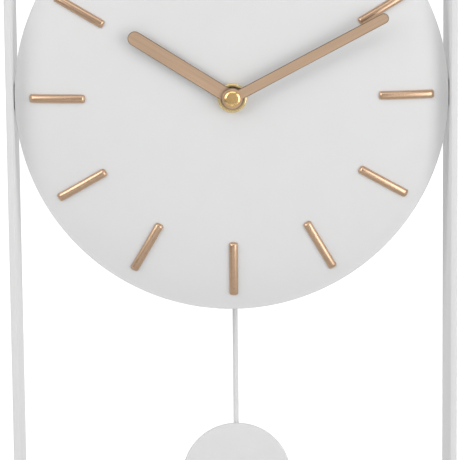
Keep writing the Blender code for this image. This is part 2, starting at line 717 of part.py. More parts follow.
def build_motion_work(materials):
    pom = materials["natural_pom"]
    work_phase = meshed_phase(CENTRE, CANNON_TEETH, 0.0, WORK_AXIS, WORK_WHEEL_TEETH)
    hour_phase = meshed_phase(WORK_AXIS, WORK_PINION_TEETH, 0.0, CENTRE, HOUR_WHEEL_TEETH)
    knob_phase = meshed_phase(WORK_AXIS, WORK_WHEEL_TEETH, work_phase, KNOB_AXIS, KNOB_TEETH)
    add_wheel("cannon_pinion", CENTRE,
              [(MINUTE_TUBE_RADIUS, MINUTE_TUBE_FRONT_Y, CANNON_PINION_Y[1]),
               (CANNON_ARBOR_RADIUS, CANNON_PINION_Y[1], ARBOR_BACK_Y)],
              [(CANNON_TEETH, MOTION_MODULE, 0.0, CANNON_PINION_Y)], materials["zinc_steel"])
    add_wheel("minute_work_wheel", WORK_AXIS, pivoted_arbor(),
              [(WORK_PINION_TEETH, MOTION_MODULE, 0.0, WORK_PINION_Y),
               (WORK_WHEEL_TEETH, MOTION_MODULE, work_phase, WORK_WHEEL_Y)], pom)
    build_hour_wheel(hour_phase, pom)
    build_setting_knob(knob_phase, materials["black_abs"])


def build_hour_wheel(phase, material):
    teeth = extruded(gear_outline(HOUR_WHEEL_TEETH, MOTION_MODULE, CENTRE, phase),
                     HOUR_WHEEL_Y, holes=[circle(*CENTRE, HOUR_TUBE_BORE, ROUND_STEPS)])
    wheel = add_node("hour_wheel", teeth, material)
    centre = (0, 0, HUB_Z)
    tube = (HOUR_TUBE_FRONT_Y, sum(HOUR_WHEEL_Y) / 2)
    carve(wheel, washer(HOUR_TUBE_RADIUS, HOUR_TUBE_BORE, tube, centre), "UNION")
    set_origin(wheel, centre)


def build_setting_knob(phase, material):
    """A pinion on a shaft that runs out through the rear cover to a fluted knob."""
    knob_front = CASE_BACK_Y + COVER_THICK + 2 * GAP
    shaft = [(KNOB_TIP_RADIUS, KNOB_TIP_Y, KNOB_PINION_Y[0]),
             (KNOB_SHAFT_RADIUS, KNOB_PINION_Y[0], knob_front + KNOB_ROOT)]
    node = add_wheel("setting_knob", KNOB_AXIS, shaft,
                     [(KNOB_TEETH, MOTION_MODULE, phase, KNOB_PINION_Y)], material)
    outline = [stepped(KNOB_AXIS, pi * i / KNOB_FLUTES, KNOB_FLUTE_RADII[i % 2])
               for i in range(2 * KNOB_FLUTES)]
    carve(node, extruded(outline, (knob_front, knob_front + KNOB_LENGTH)), "UNION")


def build_train(materials):
    pom = materials["natural_pom"]
    module = TRAIN_MODULE
    third_pinion = meshed_phase(CENTRE, CENTRE_TEETH, 0.0, THIRD_AXIS, PINION_TEETH)
    fourth_pinion = meshed_phase(THIRD_AXIS, TRAIN_TEETH, 0.0, FOURTH_AXIS, PINION_TEETH)
    fifth_pinion = meshed_phase(FOURTH_AXIS, TRAIN_TEETH, 0.0, FIFTH_AXIS, PINION_TEETH)
    rotor_pinion = meshed_phase(FIFTH_AXIS, FIFTH_TEETH, 0.0, ROTOR_AXIS, PINION_TEETH)
    hole = circle(*CENTRE, CENTRE_BORE, ROUND_STEPS)
    teeth = gear_outline(CENTRE_TEETH, module, CENTRE, 0.0)
    centre = (0, 0, HUB_Z)
    wheel = add_node("centre_wheel", extruded(teeth, CENTRE_WHEEL_Y, holes=[hole]), pom)
    carve(wheel, washer(CENTRE_HUB_RADIUS, CENTRE_BORE, CENTRE_HUB_Y, centre), "UNION")
    set_origin(wheel, centre)
    add_wheel("third_wheel", THIRD_AXIS, pivoted_arbor(),
              [(PINION_TEETH, module, third_pinion, THIRD_PINION_Y),
               (TRAIN_TEETH, module, 0.0, THIRD_WHEEL_Y)], pom)
    add_wheel("fourth_wheel", FOURTH_AXIS, pivoted_arbor(),
              [(PINION_TEETH, module, fourth_pinion, FOURTH_PINION_Y),
               (TRAIN_TEETH, module, 0.0, FOURTH_WHEEL_Y)], pom)
    add_wheel("fifth_wheel", FIFTH_AXIS, pivoted_arbor(),
              [(PINION_TEETH, module, fifth_pinion, FIFTH_PINION_Y),
               (FIFTH_TEETH, FIFTH_MODULE, 0.0, FIFTH_WHEEL_Y)], pom)
    rotor = [(PIVOT_RADIUS, ARBOR_FRONT_Y, ROTOR_HUB_Y),
             (ROTOR_HUB_RADIUS, ROTOR_HUB_Y, ROTOR_MAGNET_Y[0]),
             (MAGNET_RADIUS, *ROTOR_MAGNET_Y),
             (PIVOT_RADIUS, ROTOR_MAGNET_Y[1], ARBOR_BACK_Y)]
    add_wheel("stepping_rotor", ROTOR_AXIS, rotor,
              [(PINION_TEETH, FIFTH_MODULE, rotor_pinion, ROTOR_PINION_Y)],
              materials["magnet_nickel"])


def pivoted_arbor():
    return [(PIVOT_RADIUS, ARBOR_FRONT_Y, SHOULDER_Y[0]), (ARBOR_RADIUS, *SHOULDER_Y),
            (PIVOT_RADIUS, SHOULDER_Y[1], ARBOR_BACK_Y)]


# ---------------------------------------------------------------- movement

def build_movement_case(materials):
    outer = rounded_rectangle((-CASE_HALF_WIDTH, CASE_HALF_WIDTH), from_hub((CASE_BOTTOM, CASE_TOP)),
                              CASE_CORNER)
    case = add_node("movement_case", extruded(outer, (CASE_FRONT_Y, CASE_BACK_Y)),
                    materials["black_abs"])
    inner_x = (CASE_WALL - CASE_HALF_WIDTH, CASE_HALF_WIDTH - CASE_WALL)
    depth = (CASE_FRONT_Y + CASE_WALL, CASE_BACK_Y + CASE_WALL)
    train_bay = rounded_rectangle(inner_x, from_hub((RIB_Z + RIB_THICK / 2, CASE_TOP - CASE_WALL)),
                                  CASE_CORNER - CASE_WALL)
    battery_bay = rounded_rectangle(inner_x, from_hub((CASE_BOTTOM + CASE_WALL, RIB_Z - RIB_THICK / 2)),
                                    CASE_CORNER - CASE_WALL)
    for bay in (train_bay, battery_bay):
        carve(case, extruded(bay, depth))
    centre = (0, 0, HUB_Z)
    carve(case, disc(STEM_RADIUS, (STEM_FRONT_Y, CASE_FRONT_Y + CASE_WALL / 2), centre, 32), "UNION")
    carve(case, disc(STEM_BORE, (STEM_FRONT_Y - CASE_WALL, CASE_FRONT_Y + 2 * CASE_WALL), centre))
    for axis in (WORK_AXIS, THIRD_AXIS, FOURTH_AXIS, FIFTH_AXIS, ROTOR_AXIS):
        socket = (ARBOR_FRONT_Y - GAP, CASE_FRONT_Y + 2 * CASE_WALL)
        carve(case, disc(PIVOT_RADIUS + PIVOT_CLEARANCE, socket, (axis[0], 0, axis[1])))


def build_train_bridge(materials):
    holes = [circle(*CENTRE, CANNON_ARBOR_RADIUS + PIVOT_CLEARANCE, SMALL_ROUND_STEPS),
             circle(*KNOB_AXIS, KNOB_SHAFT_BORE, SMALL_ROUND_STEPS)]
    holes += [circle(*axis, PIVOT_RADIUS + PIVOT_CLEARANCE, SMALL_ROUND_STEPS)
              for axis in (WORK_AXIS, THIRD_AXIS, FOURTH_AXIS, FIFTH_AXIS, ROTOR_AXIS)]
    outline = rectangle((-BRIDGE_HALF_WIDTH, BRIDGE_HALF_WIDTH), from_hub(BRIDGE_Z))
    add_node("train_bridge", extruded(outline, BRIDGE_Y, holes=holes), materials["natural_pom"])


def build_rear_cover(materials):
    front = CASE_BACK_Y + GAP
    outline = rounded_rectangle((-CASE_HALF_WIDTH, CASE_HALF_WIDTH), from_hub((COVER_BOTTOM, CASE_TOP)),
                                CASE_CORNER)
    screws = [(side * COVER_SCREW_X, HUB_Z + COVER_SCREW_Z) for side in (-1, 1)]
    holes = [circle(*KNOB_AXIS, KNOB_SHAFT_BORE, ROUND_STEPS)]
    holes += [circle(*place, COVER_SCREW_HOLE, SMALL_ROUND_STEPS) for place in screws]
    add_node("rear_cover", extruded(outline, (front, front + COVER_THICK), holes=holes),
             materials["black_abs"])
    for name, (x, z) in zip(("left", "right"), screws):
        build_cover_screw(name, x, z, front, materials)


def build_cover_screw(name, x, z, cover_front, materials):
    tip = cover_front - COVER_SCREW_REACH
    seat = cover_front + COVER_THICK + GAP
    top = seat + COVER_HEAD_HEIGHT
    profile = [(0, tip), (COVER_SCREW_RADIUS, tip), (COVER_SCREW_RADIUS, seat),
               (COVER_HEAD_RADIUS, seat), (COVER_HEAD_RADIUS, top - COVER_HEAD_EASE),
               (COVER_HEAD_RADIUS - COVER_HEAD_EASE, top), (0, top)]
    screw = add_node(f"cover_screw_{name}", turned(profile, (x, 0, z), 20, ring=False),
                     materials["zinc_steel"])
    for outline in cross(x, z, COVER_SCREW_CROSS):
        carve(screw, extruded(outline, (top - COVER_CROSS_DEPTH, top + GAP)))


def build_motor(materials):
    window = rectangle(STATOR_WINDOW_X, from_hub(STATOR_WINDOW_Z))
    hole = circle(*ROTOR_AXIS, STATOR_HOLE, ROUND_STEPS)
    outline = rectangle(STATOR_X, from_hub(STATOR_Z))
    add_node("stator", extruded(outline, STATOR_Y, holes=[window, hole]), materials["soft_iron"])
    first, last = COIL_X
    winding = (first + COIL_FLANGE_THICK, last - COIL_FLANGE_THICK)
    profile = [(COIL_BORE, first), (COIL_FLANGE, first), (COIL_FLANGE, winding[0]),
               (COIL_WINDING, winding[0]), (COIL_WINDING, winding[1]),
               (COIL_FLANGE, winding[1]), (COIL_FLANGE, last), (COIL_BORE, last)]
    centre = (0, sum(STATOR_Y) / 2, HUB_Z + COIL_Z)
    add_node("motor_coil", turned(profile, centre, SMALL_ROUND_STEPS, axis="X"), materials["copper_wire"])


def build_board(materials):
    outline = rectangle((-BOARD_HALF_WIDTH, BOARD_HALF_WIDTH), from_hub(BOARD_Z))
    add_node("circuit_board", extruded(outline, BOARD_Y), materials["circuit_green"])
    crystal = disc(CRYSTAL_RADIUS, CRYSTAL_X, (0, CRYSTAL_Y, HUB_Z + CRYSTAL_Z), axis="X")
    add_node("quartz_crystal", crystal, materials["magnet_nickel"])


def build_battery(materials):
    centre = (0, BATTERY_Y, HUB_Z + BATTERY_Z)
    first = -BATTERY_LENGTH / 2
    shoulder = BATTERY_LENGTH / 2 - BATTERY_NUB_LENGTH
    profile = [(0, first), *eased_edge(BATTERY_RADIUS, first, BATTERY_EASE),
               *reversed(eased_edge(BATTERY_RADIUS, shoulder, -BATTERY_EASE)),
               (BATTERY_NUB, shoulder), (BATTERY_NUB, -first), (0, -first)]
    add_node("battery", turned(profile, centre, ROUND_STEPS, axis="X", ring=False),
             materials["battery_sleeve"])
    for name, side, half in CONTACTS:
        span = (side * CONTACT_X, side * (CONTACT_X + CONTACT_THICK))
        plate = rounded_rectangle((BATTERY_Y - half, BATTERY_Y + half),
                                  from_hub((BATTERY_Z - half, BATTERY_Z + half)), CONTACT_CORNER)
        add_node(f"contact_{name}", extruded(plate, span, axis="X"), materials["zinc_steel"])


# ---------------------------------------------------------------- pendulum

def build_pendulum_housing(materials):
    """A cover over the drive coil and the top of the arm, open in front and below."""
    low, high = HOUSING_Z
    outer = rounded_rectangle((PENDULUM_X - HOUSING_HALF_WIDTH, PENDULUM_X + HOUSING_HALF_WIDTH),
                              from_hub((low, high)), HOUSING_CORNER)
    housing = add_node("pendulum_housing", extruded(outer, HOUSING_Y), materials["black_abs"])
    half = HOUSING_HALF_WIDTH - HOUSING_WALL
    inner = rectangle((PENDULUM_X - half, PENDULUM_X + half),
                      from_hub((low - HOUSING_WALL, high - HOUSING_WALL)))
    carve(housing, extruded(inner, (HOUSING_Y[0] - HOUSING_WALL, HOUSING_Y[1] - HOUSING_WALL)))
    bore = (HOUSING_Y[1] - 2 * HOUSING_WALL, HOUSING_Y[1] + HOUSING_WALL)
    carve(housing, disc(PIVOT_PIN_RADIUS + PIVOT_FIT, bore, (PENDULUM_X, 0, HUB_Z + PIVOT_Z), 20))
    add_node("pendulum_coil",
             washer(DRIVE_COIL_RADIUS, DRIVE_COIL_BORE, DRIVE_COIL_Y,
                    (PENDULUM_X, 0, HUB_Z + DRIVE_Z)), materials["copper_wire"])
    add_node("pivot_pin",
             disc(PIVOT_PIN_RADIUS, (HOUSING_Y[0], HOUSING_Y[1] - GAP),
                  (PENDULUM_X, 0, HUB_Z + PIVOT_Z), 20), materials["zinc_steel"])


def arm_outline():
    """Round top at the pivot, a ring for the magnet, and a wider foot for the rod's hook."""
    meet = atan2(sqrt(ARM_RING_RADIUS ** 2 - ARM_HALF_WIDTH ** 2), ARM_HALF_WIDTH)
    neck = atan2(sqrt(ARM_TOP_RADIUS ** 2 - ARM_HALF_WIDTH ** 2), ARM_HALF_WIDTH)
    ring = arc(0, DRIVE_Z, ARM_RING_RADIUS, meet, -meet, 10)
    right = arc(0, PIVOT_Z, ARM_TOP_RADIUS, pi / 2, -neck, 8)
    right += ring
    right += [(ARM_HALF_WIDTH, ARM_END_Z + ARM_FLARE), (ARM_END_HALF_WIDTH, ARM_END_Z),
              (ARM_END_HALF_WIDTH, ARM_BOTTOM_Z + ARM_CHAMFER),
              (ARM_END_HALF_WIDTH - ARM_CHAMFER, ARM_BOTTOM_Z)]
    left = [(-u, v) for u, v in reversed(right[1:])]
    return [(PENDULUM_X + u, HUB_Z + v) for u, v in right + left]


def build_swing_arm(materials, pivot):
    window = rectangle((PENDULUM_X - ARM_WINDOW_HALF, PENDULUM_X + ARM_WINDOW_HALF),
                       from_hub(ARM_WINDOW_Z))
    holes = [circle(PENDULUM_X, HUB_Z + PIVOT_Z, PIVOT_PIN_RADIUS + PIVOT_FIT, 20),
             circle(PENDULUM_X, HUB_Z + DRIVE_Z, ARM_MAGNET_RADIUS + HUB_FIT, 24), window]
    add_node("swing_arm", extruded(arm_outline(), ARM_Y, holes=holes),
             materials["natural_pom"], origin=pivot)
    add_node("arm_magnet", disc(ARM_MAGNET_RADIUS, ARM_MAGNET_Y, (PENDULUM_X, 0, HUB_Z + DRIVE_Z), 24),
             materials["magnet_nickel"], origin=pivot)


def rod_route():
    """From the hook's free tip in front of the arm, over its foot and straight down."""
    bend_y = ROD_Y - HOOK_BEND
    route = [(bend_y - HOOK_BEND, HOOK_TIP_Z)]
    route += arc(bend_y, HOOK_Z, HOOK_BEND, pi, 0, 10)
    route.append((ROD_Y, ROD_END_Z))
    return [Vector((PENDULUM_X, y, HUB_Z + z)) for y, z in route]


def build_rod(materials, pivot):
    """The rod and its hook, as a ring of points carried along the route and bridged."""
    route = rod_route()
    shape = bmesh.new()
    rings = []
    for i, point in enumerate(route):
        ahead = route[min(i + 1, len(route) - 1)] - route[max(i - 1, 0)]
        normal = AXIS_X.cross(ahead.normalized())
        rings.append([shape.verts.new(point + AXIS_X * (ROD_RADIUS * cos(2 * pi * k / ROD_SIDES))
                                      + normal * (ROD_RADIUS * sin(2 * pi * k / ROD_SIDES)))
                      for k in range(ROD_SIDES)])
    for ring, after in zip(rings, rings[1:]):
        for k in range(ROD_SIDES):
            j = (k + 1) % ROD_SIDES
            shape.faces.new((ring[k], ring[j], after[j], after[k]))
    shape.faces.new(rings[0])
    shape.faces.new(rings[-1])
    bmesh.ops.recalc_face_normals(shape, faces=shape.faces[:])
    add_node("pendulum_rod", shape, materials["white_powder_coat"], origin=pivot)


def build_bob(materials, pivot):
    front, back = BOB_Y
    profile = [(0, front), *eased_edge(BOB_RADIUS, front, BOB_EDGE),
               (BOB_RADIUS, back - BOB_EDGE / 2), (BOB_RADIUS - BOB_EDGE / 2, back), (0, back)]
    centre = (PENDULUM_X, 0, HUB_Z + BOB_Z)
    add_node("pendulum_bob", turned(profile, centre, BOB_SEGMENTS, ring=False),
             materials["white_powder_coat"], origin=pivot)


def build_bob_clip(materials, pivot):
    """A block with a groove in its front that takes the rod, fixed to the back of the bob."""
    front, back = CLIP_Y
    groove = arc(PENDULUM_X, ROD_Y, CLIP_GROOVE, pi, 0, 8)
    outline = [(PENDULUM_X - CLIP_GROOVE, front), (PENDULUM_X - CLIP_HALF_WIDTH, front),
               (PENDULUM_X - CLIP_HALF_WIDTH, back), (PENDULUM_X + CLIP_HALF_WIDTH, back),
               (PENDULUM_X + CLIP_HALF_WIDTH, front), (PENDULUM_X + CLIP_GROOVE, front)]
    outline += list(reversed(groove))
    middle = HUB_Z + BOB_Z
    add_node("bob_clip", extruded(outline, (middle - CLIP_HALF_HEIGHT, middle + CLIP_HALF_HEIGHT),
                                  axis="Z"), materials["natural_pom"], origin=pivot)


def build_pendulum(materials):
    pivot = (PENDULUM_X, sum(ARM_Y) / 2, HUB_Z + PIVOT_Z)
    for build in (build_swing_arm, build_rod, build_bob, build_bob_clip):
        build(materials, pivot)


def main():
    clear_scene()
    materials = make_materials()
    build_frame_band(materials)
    build_hanger_plate(materials)
    build_dial_plate(materials)
    build_markers(materials)
    for name, side in (("left", -1), ("right", 1)):
        build_side_fixing(name, side, materials)
    build_hub_stack(materials)
    build_hands(materials)
    build_centre_cap(materials)
    build_movement_case(materials)
    build_train_bridge(materials)
    build_rear_cover(materials)
    build_motion_work(materials)
    build_train(materials)
    build_motor(materials)
    build_board(materials)
    build_battery(materials)
    build_pendulum_housing(materials)
    build_pendulum(materials)


main()
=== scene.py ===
"""Looks of the pendulum wall clock: smooth pieces, finishes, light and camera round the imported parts.

Metres, +Z up, the front faces -Y and the wall is the plane y = 0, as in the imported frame.
"""
from math import atan2, cos, pi, radians, sin, sqrt

import bmesh
import bpy
from mathutils import Matrix, Vector


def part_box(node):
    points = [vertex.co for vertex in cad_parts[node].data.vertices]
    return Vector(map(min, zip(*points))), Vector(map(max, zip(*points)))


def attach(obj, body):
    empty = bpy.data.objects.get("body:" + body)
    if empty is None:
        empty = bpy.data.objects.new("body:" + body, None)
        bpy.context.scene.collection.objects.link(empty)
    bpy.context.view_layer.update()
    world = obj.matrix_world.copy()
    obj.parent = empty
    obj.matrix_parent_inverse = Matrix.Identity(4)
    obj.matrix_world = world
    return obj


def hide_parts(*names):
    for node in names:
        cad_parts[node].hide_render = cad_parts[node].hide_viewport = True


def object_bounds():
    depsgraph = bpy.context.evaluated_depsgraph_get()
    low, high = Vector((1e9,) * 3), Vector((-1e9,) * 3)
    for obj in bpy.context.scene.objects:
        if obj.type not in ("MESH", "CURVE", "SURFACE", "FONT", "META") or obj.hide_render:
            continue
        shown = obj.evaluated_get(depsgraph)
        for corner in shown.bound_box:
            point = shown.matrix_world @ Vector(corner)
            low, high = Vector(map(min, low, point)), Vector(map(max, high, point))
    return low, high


MM = 0.001
MICRON = 1e-6

# ---- loop frame
BAND_THICK = 3 * MM
BAND_CORNER = 0.55 * MM
SCREW_HOLE = 1.75 * MM
SCREW_HEAD_HOLE = 3.2 * MM
SCREW_HEAD_DEPTH = 1.5 * MM
ARC_STATIONS = 96
HOLE_SEGMENTS = 48

# ---- dial and markers
CROWN_HEIGHT = 8.5 * MM
CROWN_POWER = 4
DIAL_THICK = 1.2 * MM
DIAL_BORE = 4.3 * MM
DIAL_EDGE = 0.4 * MM
DIAL_EDGE_STEPS = 5
DIAL_RINGS = 40
DIAL_SEGMENTS = 192
MARKER_INNER = 65 * MM
MARKER_OUTER = 90 * MM
MARKER_WIDTH = 3.8 * MM
MARKER_HEIGHT = 1.6 * MM
MARKER_LIFT = 0.15 * MM
MARKER_SECTION_STEPS = 20
MARKER_MIDDLE_STEPS = 8
MARKER_END = 1.5 * MM
MARKER_END_STEPS = 7
MARKER_END_START = 0.96
MARKER_END_CROWDING = 1.5
MARKER_END_WIDTH_POWERS = (3, 1 / 3)
MARKER_END_HEIGHT_POWERS = (1.6, 0.7)

# ---- hub stack and hands
HUB_SEGMENTS = 96
NUT_BORE = 4.15 * MM
NUT_RIM = 1.6 * MM
NUT_RECESS = 0.45 * MM
NUT_RECESS_CORNER = 0.3 * MM
NUT_SLOPE_HALF = 0.1 * MM
NUT_SLOPE_FOOT = 0.6
NUT_SLOPE_TOP = 0.1 * MM
NUT_EDGE = 0.7 * MM
NUT_BACK_EDGE = 0.2 * MM
CAP_FACE = 2.75 * MM
CAP_FACE_CORNER = (0.1 * MM, 0.03 * MM)
CAP_BEVEL_DEPTH = 0.35 * MM
CAP_EDGE = 0.2 * MM
CAP_EDGE_START = -0.35 * pi
CAP_BACK_EDGE = 0.1 * MM
HOUR_HAND = {"length": 53.5 * MM, "width": 6.4 * MM, "boss": 4.7 * MM, "bore": 2.65 * MM,
             "angle": radians(302.3)}
MINUTE_HAND = {"length": 77.5 * MM, "width": 4.6 * MM, "boss": 4.8 * MM, "bore": 1.75 * MM,
               "angle": radians(62.6)}
HAND_CHAMFER = 0.34 * MM
HAND_CHAMFER_DEPTH = 0.4 * MM
HAND_TIP_STEPS = 24
HAND_BOSS_STEPS = 64
HAND_BORE_STEPS = 48

# ---- pendulum
ROD_RADIUS = 1.2 * MM
ROD_SIDES = 32
ROD_END_EDGE = 0.3 * MM
HOOK_BEND = 2.3 * MM
HOOK_Z = -44.7 * MM
HOOK_TAIL = 3.3 * MM
HOOK_STEPS = 20
BOB_EDGE = 0.7 * MM
BOB_SEGMENTS = 160

# ---- movement
KNOB_RING = (5.5 * MM, 6.2 * MM)
KNOB_RING_HEIGHT = 0.35 * MM
KNOB_RING_SINK = 0.05 * MM
KNOB_RING_CORNER = 0.12 * MM
KNOB_RING_SEGMENTS = 72
BATTERY_SEGMENTS = 72
BATTERY_EDGE = 0.7 * MM
BATTERY_BASE_RISE = 0.2 * MM
BATTERY_BASE_SHARES = (0.6, 0.62)
BATTERY_NUB_LENGTH = 1.2 * MM
BATTERY_NUB_EDGE = 0.3 * MM
BATTERY_NUB_RADIUS = 2.75 * MM
BATTERY_SKIRT = ((3.4 * MM, 0.0), (3.1 * MM, 0.15 * MM), (2.75 * MM, 0.2 * MM))
BATTERY_CRIMP = ((0.0, 2.2 * MM), (0.25 * MM, 1.9 * MM), (0.25 * MM, 1.6 * MM), (0.05 * MM, 1.3 * MM))
BATTERY_CAP_START = 9 * MM
BATTERY_CAP_BLUR = 0.1 * MM

# ---- stage: the floor disc as (radius, height) points
FLOOR_SECTION = ((0, -20 * MM), (0.93, -20 * MM), (0.95, -10 * MM), (0.95, -3 * MM), (0.94, 0),
                 (0.5, 0), (0, 0))
FLOOR_SEGMENTS = 128
FLOOR_GAP = 0.13
FLOOR_COLOURS = ((0.62, 0.62, 0.62), (0.66, 0.66, 0.66))

# ---- light: each step of the world runs over a part of the direction, adding low to high
WORLD_STEPS = (("depth", (-0.5, 0.5), (0.5, 0.82)), ("depth", (0.85, 0.96), (0.0, 0.38)),
               ("height", (0.2, 0.85), (0.0, -0.38)))
WORLD_TILT = (0.18, 0.0, 0.12)

# ---- light: name, place, width and height, and watts of each soft box
SOFT_BOXES = (("key_left", (-1.1, -0.87, 0.4), (1.0, 1.1), 8.7),
              ("top", (0.0, -0.9, 1.05), (1.4, 0.6), 3.8),
              ("right", (1.05, -0.95, -0.1), (0.8, 1.3), 7.4),
              ("low", (0.0, -1.0, -0.85), (1.2, 0.5), 4.4))
SOFT_BOX_TARGET = (0, 0, -0.2)

# ---- camera
CAMERA_PLACE = (-0.0171, -1.2299, -0.0333)
CAMERA_PAN = radians(0.75)
CAMERA_TILT = radians(9.07)
CAMERA_ROLL = radians(-0.58)
CAMERA_LENS = 211.7
SENSOR_WIDTH = 36.0

# ---- colours, linear
WHITE = (0.765, 0.765, 0.765)
ROSE_HAND = (0.75, 0.530, 0.365)
ROSE_MARKER = (0.66, 0.450, 0.302)
BRASS = (0.96, 0.740, 0.370)
BRASS_CAP = (0.97, 0.640, 0.280)
STEEL = (0.62, 0.63, 0.65)
IRON = (0.42, 0.42, 0.43)
NICKEL = (0.70, 0.69, 0.66)
COPPER = (0.78, 0.36, 0.15)
RUBBER_BLACK = (0.025, 0.025, 0.025)
ABS_BLACK = (0.030, 0.030, 0.033)
POM_CREAM = (0.80, 0.78, 0.70)
BOARD_GREEN = (0.02, 0.15, 0.06)
BATTERY_BLACK = (0.015, 0.017, 0.02)
BATTERY_GOLD = (0.62, 0.36, 0.16)
# painted shade on the chamfered edges of the hands: how much of the colour is left, and the facing over
# which it sets in
EDGE_SHADE_SHARE = 0.3
EDGE_SHADE_FACING = (0.5, 0.95)
WIRE_PITCH = 0.16 * MM

AXIS_X = Vector((1, 0, 0))
AXIS_Y = Vector((0, 1, 0))
AXIS_Z = Vector((0, 0, 1))
SHARP_ANGLE = radians(30)
MERGE_DISTANCE = 1e-7
WELD_DISTANCE = 1e-6

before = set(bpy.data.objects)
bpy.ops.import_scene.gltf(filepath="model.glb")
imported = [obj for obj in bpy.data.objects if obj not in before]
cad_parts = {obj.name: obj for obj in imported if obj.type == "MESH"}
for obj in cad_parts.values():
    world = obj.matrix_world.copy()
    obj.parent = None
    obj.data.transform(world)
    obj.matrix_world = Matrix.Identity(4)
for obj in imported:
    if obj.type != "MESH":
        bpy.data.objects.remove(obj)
cad_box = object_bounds()


def centre_of(node):
    """The middle of a node's box."""
    low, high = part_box(node)
    return (low + high) / 2


HUB = centre_of("mounting_nut")


# ---------------------------------------------------------------- finishes

class Finish:
    """A Principled material built up from procedural layers, in the part's own metres."""

    def __init__(self, name, roughness, metallic=0.0, **sockets):
        self.material = bpy.data.materials.new(name)
        self.material.use_nodes = True
        self.tree = self.material.node_tree
        self.shader = self.tree.nodes["Principled BSDF"]
        self.shader.inputs["Metallic"].default_value = metallic
        self.shader.inputs["Roughness"].default_value = roughness
        for socket, value in sockets.items():
            self.shader.inputs[socket.replace("_", " ")].default_value = value
        self.place = self.add("ShaderNodeTexCoord").outputs["Object"]
        self.normal = None

    def add(self, kind, inputs=None, **settings):
        node = self.tree.nodes.new(kind)
        for name, value in settings.items():
            setattr(node, name, value)
        for name, value in (inputs or {}).items():
            if isinstance(value, bpy.types.NodeSocket):
                self.tree.links.new(value, node.inputs[name])
            else:
                node.inputs[name].default_value = value
        return node

    def stretched(self, scale, turn=0.0):
        """The place seen along the clock angle turn, which becomes z, then scaled on each axis."""
        aligned = self.add("ShaderNodeMapping", {"Vector": self.place, "Rotation": (0, -turn, 0)})
        scaled = self.add("ShaderNodeMapping", {"Vector": aligned.outputs[0], "Scale": scale})
        return scaled.outputs[0]

    def noise(self, scale, detail=3.0, turn=0.0, sharpness=0.5):
        """Noise whose grains are 1/scale metres long; scale is a number or one for each axis."""
        scales = scale if isinstance(scale, tuple) else (scale,) * 3
        node = self.add("ShaderNodeTexNoise", {"Vector": self.stretched(scales, turn), "Scale": 1.0,
                                               "Detail": detail, "Roughness": sharpness})
        return node.outputs[0]

    def ridges(self, pitch, direction, rings):
        """Even ridges, one each pitch metres, across an axis or as rings about it."""
        wave_length = 2 * pi / 20  # of the wave texture at scale 1
        node = self.add("ShaderNodeTexWave", {"Vector": self.place, "Scale": wave_length / pitch,
                                              "Distortion": 0.0})
        node.wave_type = "RINGS" if rings else "BANDS"
        if rings:
            node.rings_direction = direction
        else:
            node.bands_direction = direction
        return node.outputs["Fac"]

    def spread(self, factor, low, high):
        """Maps the middle half of a factor, where noise mostly lies, to low..high."""
        node = self.add("ShaderNodeMapRange", {"Value": factor, "From Min": 0.25, "From Max": 0.75,
                                               "To Min": low, "To Max": high})
        return node.outputs[0]

    def colour(self, factor, low, high):
        """Runs the base colour from low to high with the factor."""
        node = self.add("ShaderNodeMix", data_type="RGBA")
        self.tree.links.new(self.spread(factor, 0.0, 1.0), node.inputs[0])
        node.inputs[6].default_value = (*low, 1.0)
        node.inputs[7].default_value = (*high, 1.0)
        self.tree.links.new(node.outputs[2], self.shader.inputs["Base Color"])
        return self

    def painted_flank_shade(self, first, last, share):
        """Paints shade into the base colour: darker where the surface turns away from the front of the
        piece.
        """
        normal = self.add("ShaderNodeTexCoord").outputs["Normal"]
        facing = self.add("ShaderNodeSeparateXYZ", {"Vector": normal}).outputs["Y"]
        strength = self.add("ShaderNodeMapRange", {"Value": facing, "From Min": -last,
                                                   "From Max": -first, "To Min": 1.0,
                                                   "To Max": share}).outputs[0]
        base = self.shader.inputs["Base Color"]
        scaled = self.add("ShaderNodeVectorMath", {0: base.links[0].from_socket}, operation="SCALE")
        self.tree.links.new(strength, scaled.inputs["Scale"])
        self.tree.links.new(scaled.outputs[0], base)
        return self

    def gloss(self, factor, low, high):
        self.tree.links.new(self.spread(factor, low, high), self.shader.inputs["Roughness"])
        return self

    def relief(self, height, depth):
        """Adds a bump of the given depth in metres to the ones already there."""
        inputs = {"Height": height, "Distance": depth, "Strength": 1.0}
        if self.normal is not None:
            inputs["Normal"] = self.normal
        self.normal = self.add("ShaderNodeBump", inputs).outputs[0]
        self.tree.links.new(self.normal, self.shader.inputs["Normal"])
        return self


def shade(colour, factor):
    """The colour made darker or lighter by a factor."""
    return tuple(min(1.0, channel * factor) for channel in colour)


def powder_coat(name, colour):
    finish = Finish(name, 0.5, Specular_IOR_Level=0.4)
    mottle = finish.noise(180, 4)
    peel = finish.noise(1500, 2)
    finish.colour(mottle, shade(colour, 0.985), shade(colour, 1.01))
    finish.gloss(peel, 0.44, 0.58)
    return finish.relief(peel, 5 * MICRON).relief(finish.noise(6000, 2), MICRON).material


def dial_paint(name, colour):
    finish = Finish(name, 0.55, Specular_IOR_Level=0.35)
    finish.colour(finish.noise(90, 4), shade(colour, 0.99), shade(colour, 1.006))
    grain = finish.noise(4200, 3)
    finish.gloss(grain, 0.5, 0.62)
    return finish.relief(grain, 2.5 * MICRON).material


def brushed_metal(name, colour, turn, roughness=0.4, along=45, across=5200):
    """Fine scratches along a hand that points at the clock angle given as turn."""
    finish = Finish(name, roughness, 1.0, Anisotropic=0.35)
    scratches = finish.noise((across, across, along), 4, turn, 0.65)
    streaks = finish.noise((1300, 1300, along / 2), 3, turn, 0.6)
    finish.colour(streaks, shade(colour, 0.91), shade(colour, 1.07))
    # painted shade: the chamfers and sides of the hand are darkened in the base colour
    finish.painted_flank_shade(*EDGE_SHADE_FACING, EDGE_SHADE_SHARE)
    finish.gloss(scratches, roughness - 0.1, roughness + 0.1)
    return finish.relief(scratches, 3 * MICRON).relief(streaks, 4 * MICRON).material


